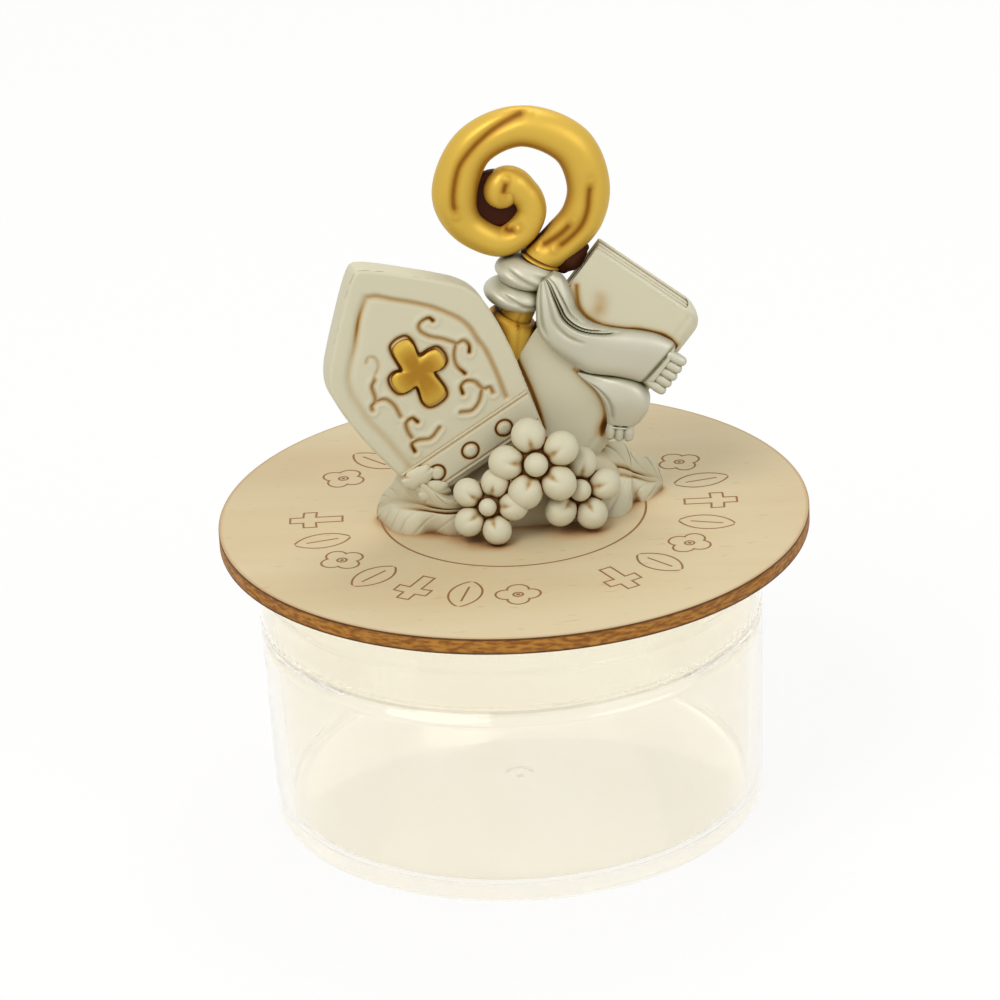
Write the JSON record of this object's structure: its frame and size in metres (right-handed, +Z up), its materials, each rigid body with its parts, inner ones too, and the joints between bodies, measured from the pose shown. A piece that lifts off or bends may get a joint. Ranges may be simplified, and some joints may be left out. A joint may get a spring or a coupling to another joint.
{
  "type": "clear keepsake box with church emblem",
  "caption": "Round clear push-lid keepsake box carrying a plywood disc and a cast emblem of mitre, crozier, stole, book and flowers.",
  "frame": {"origin": "middle of the clear box's flat underside, on the box's axis", "axes": "+Z up; +X to the viewer's right in the picture; -Y towards the viewer, which the mitre and the book's cover face"},
  "size_m": [0.07, 0.07, 0.0872],
  "materials": {
    "clear_plastic": "clear moulded polystyrene, polished",
    "birch_plywood": "bare birch plywood with a laser-burnt edge",
    "ivory_resin": "cast resin painted ivory with a brown antique wash",
    "gold_resin": "cast resin with antique gold paint",
    "silver_resin": "cast resin with antique silver paint"
  },
  "bodies": {
    "box": {"box_body": "clear_plastic"},
    "lid": {"box_lid": "clear_plastic", "wood_disc": "birch_plywood", "figure_base": "ivory_resin", "mitre": "ivory_resin", "mitre_band": "ivory_resin", "mitre_stud_1": "ivory_resin", "mitre_stud_2": "ivory_resin", "mitre_stud_3": "ivory_resin", "mitre_cross": "gold_resin", "crozier_curl": "gold_resin", "crozier_ferrule": "gold_resin", "crozier_shaft": "gold_resin", "stole_wrap_upper": "silver_resin", "stole_wrap_lower": "silver_resin", "stole_tail_long": "silver_resin", "stole_tail_short": "silver_resin", "stole_fringe_long": "silver_resin", "stole_fringe_short": "silver_resin", "book_cover": "ivory_resin", "book_pages": "ivory_resin", "flower_large": "ivory_resin", "flower_right": "ivory_resin", "flower_left": "ivory_resin", "leaf_left": "ivory_resin", "leaf_right": "ivory_resin"}
  },
  "joints": [
    {"name": "lid_lift", "type": "slide", "parent": "box", "child": "lid", "axis": [0, 0, 1], "range_m": [0, 0.04]}
  ]
}
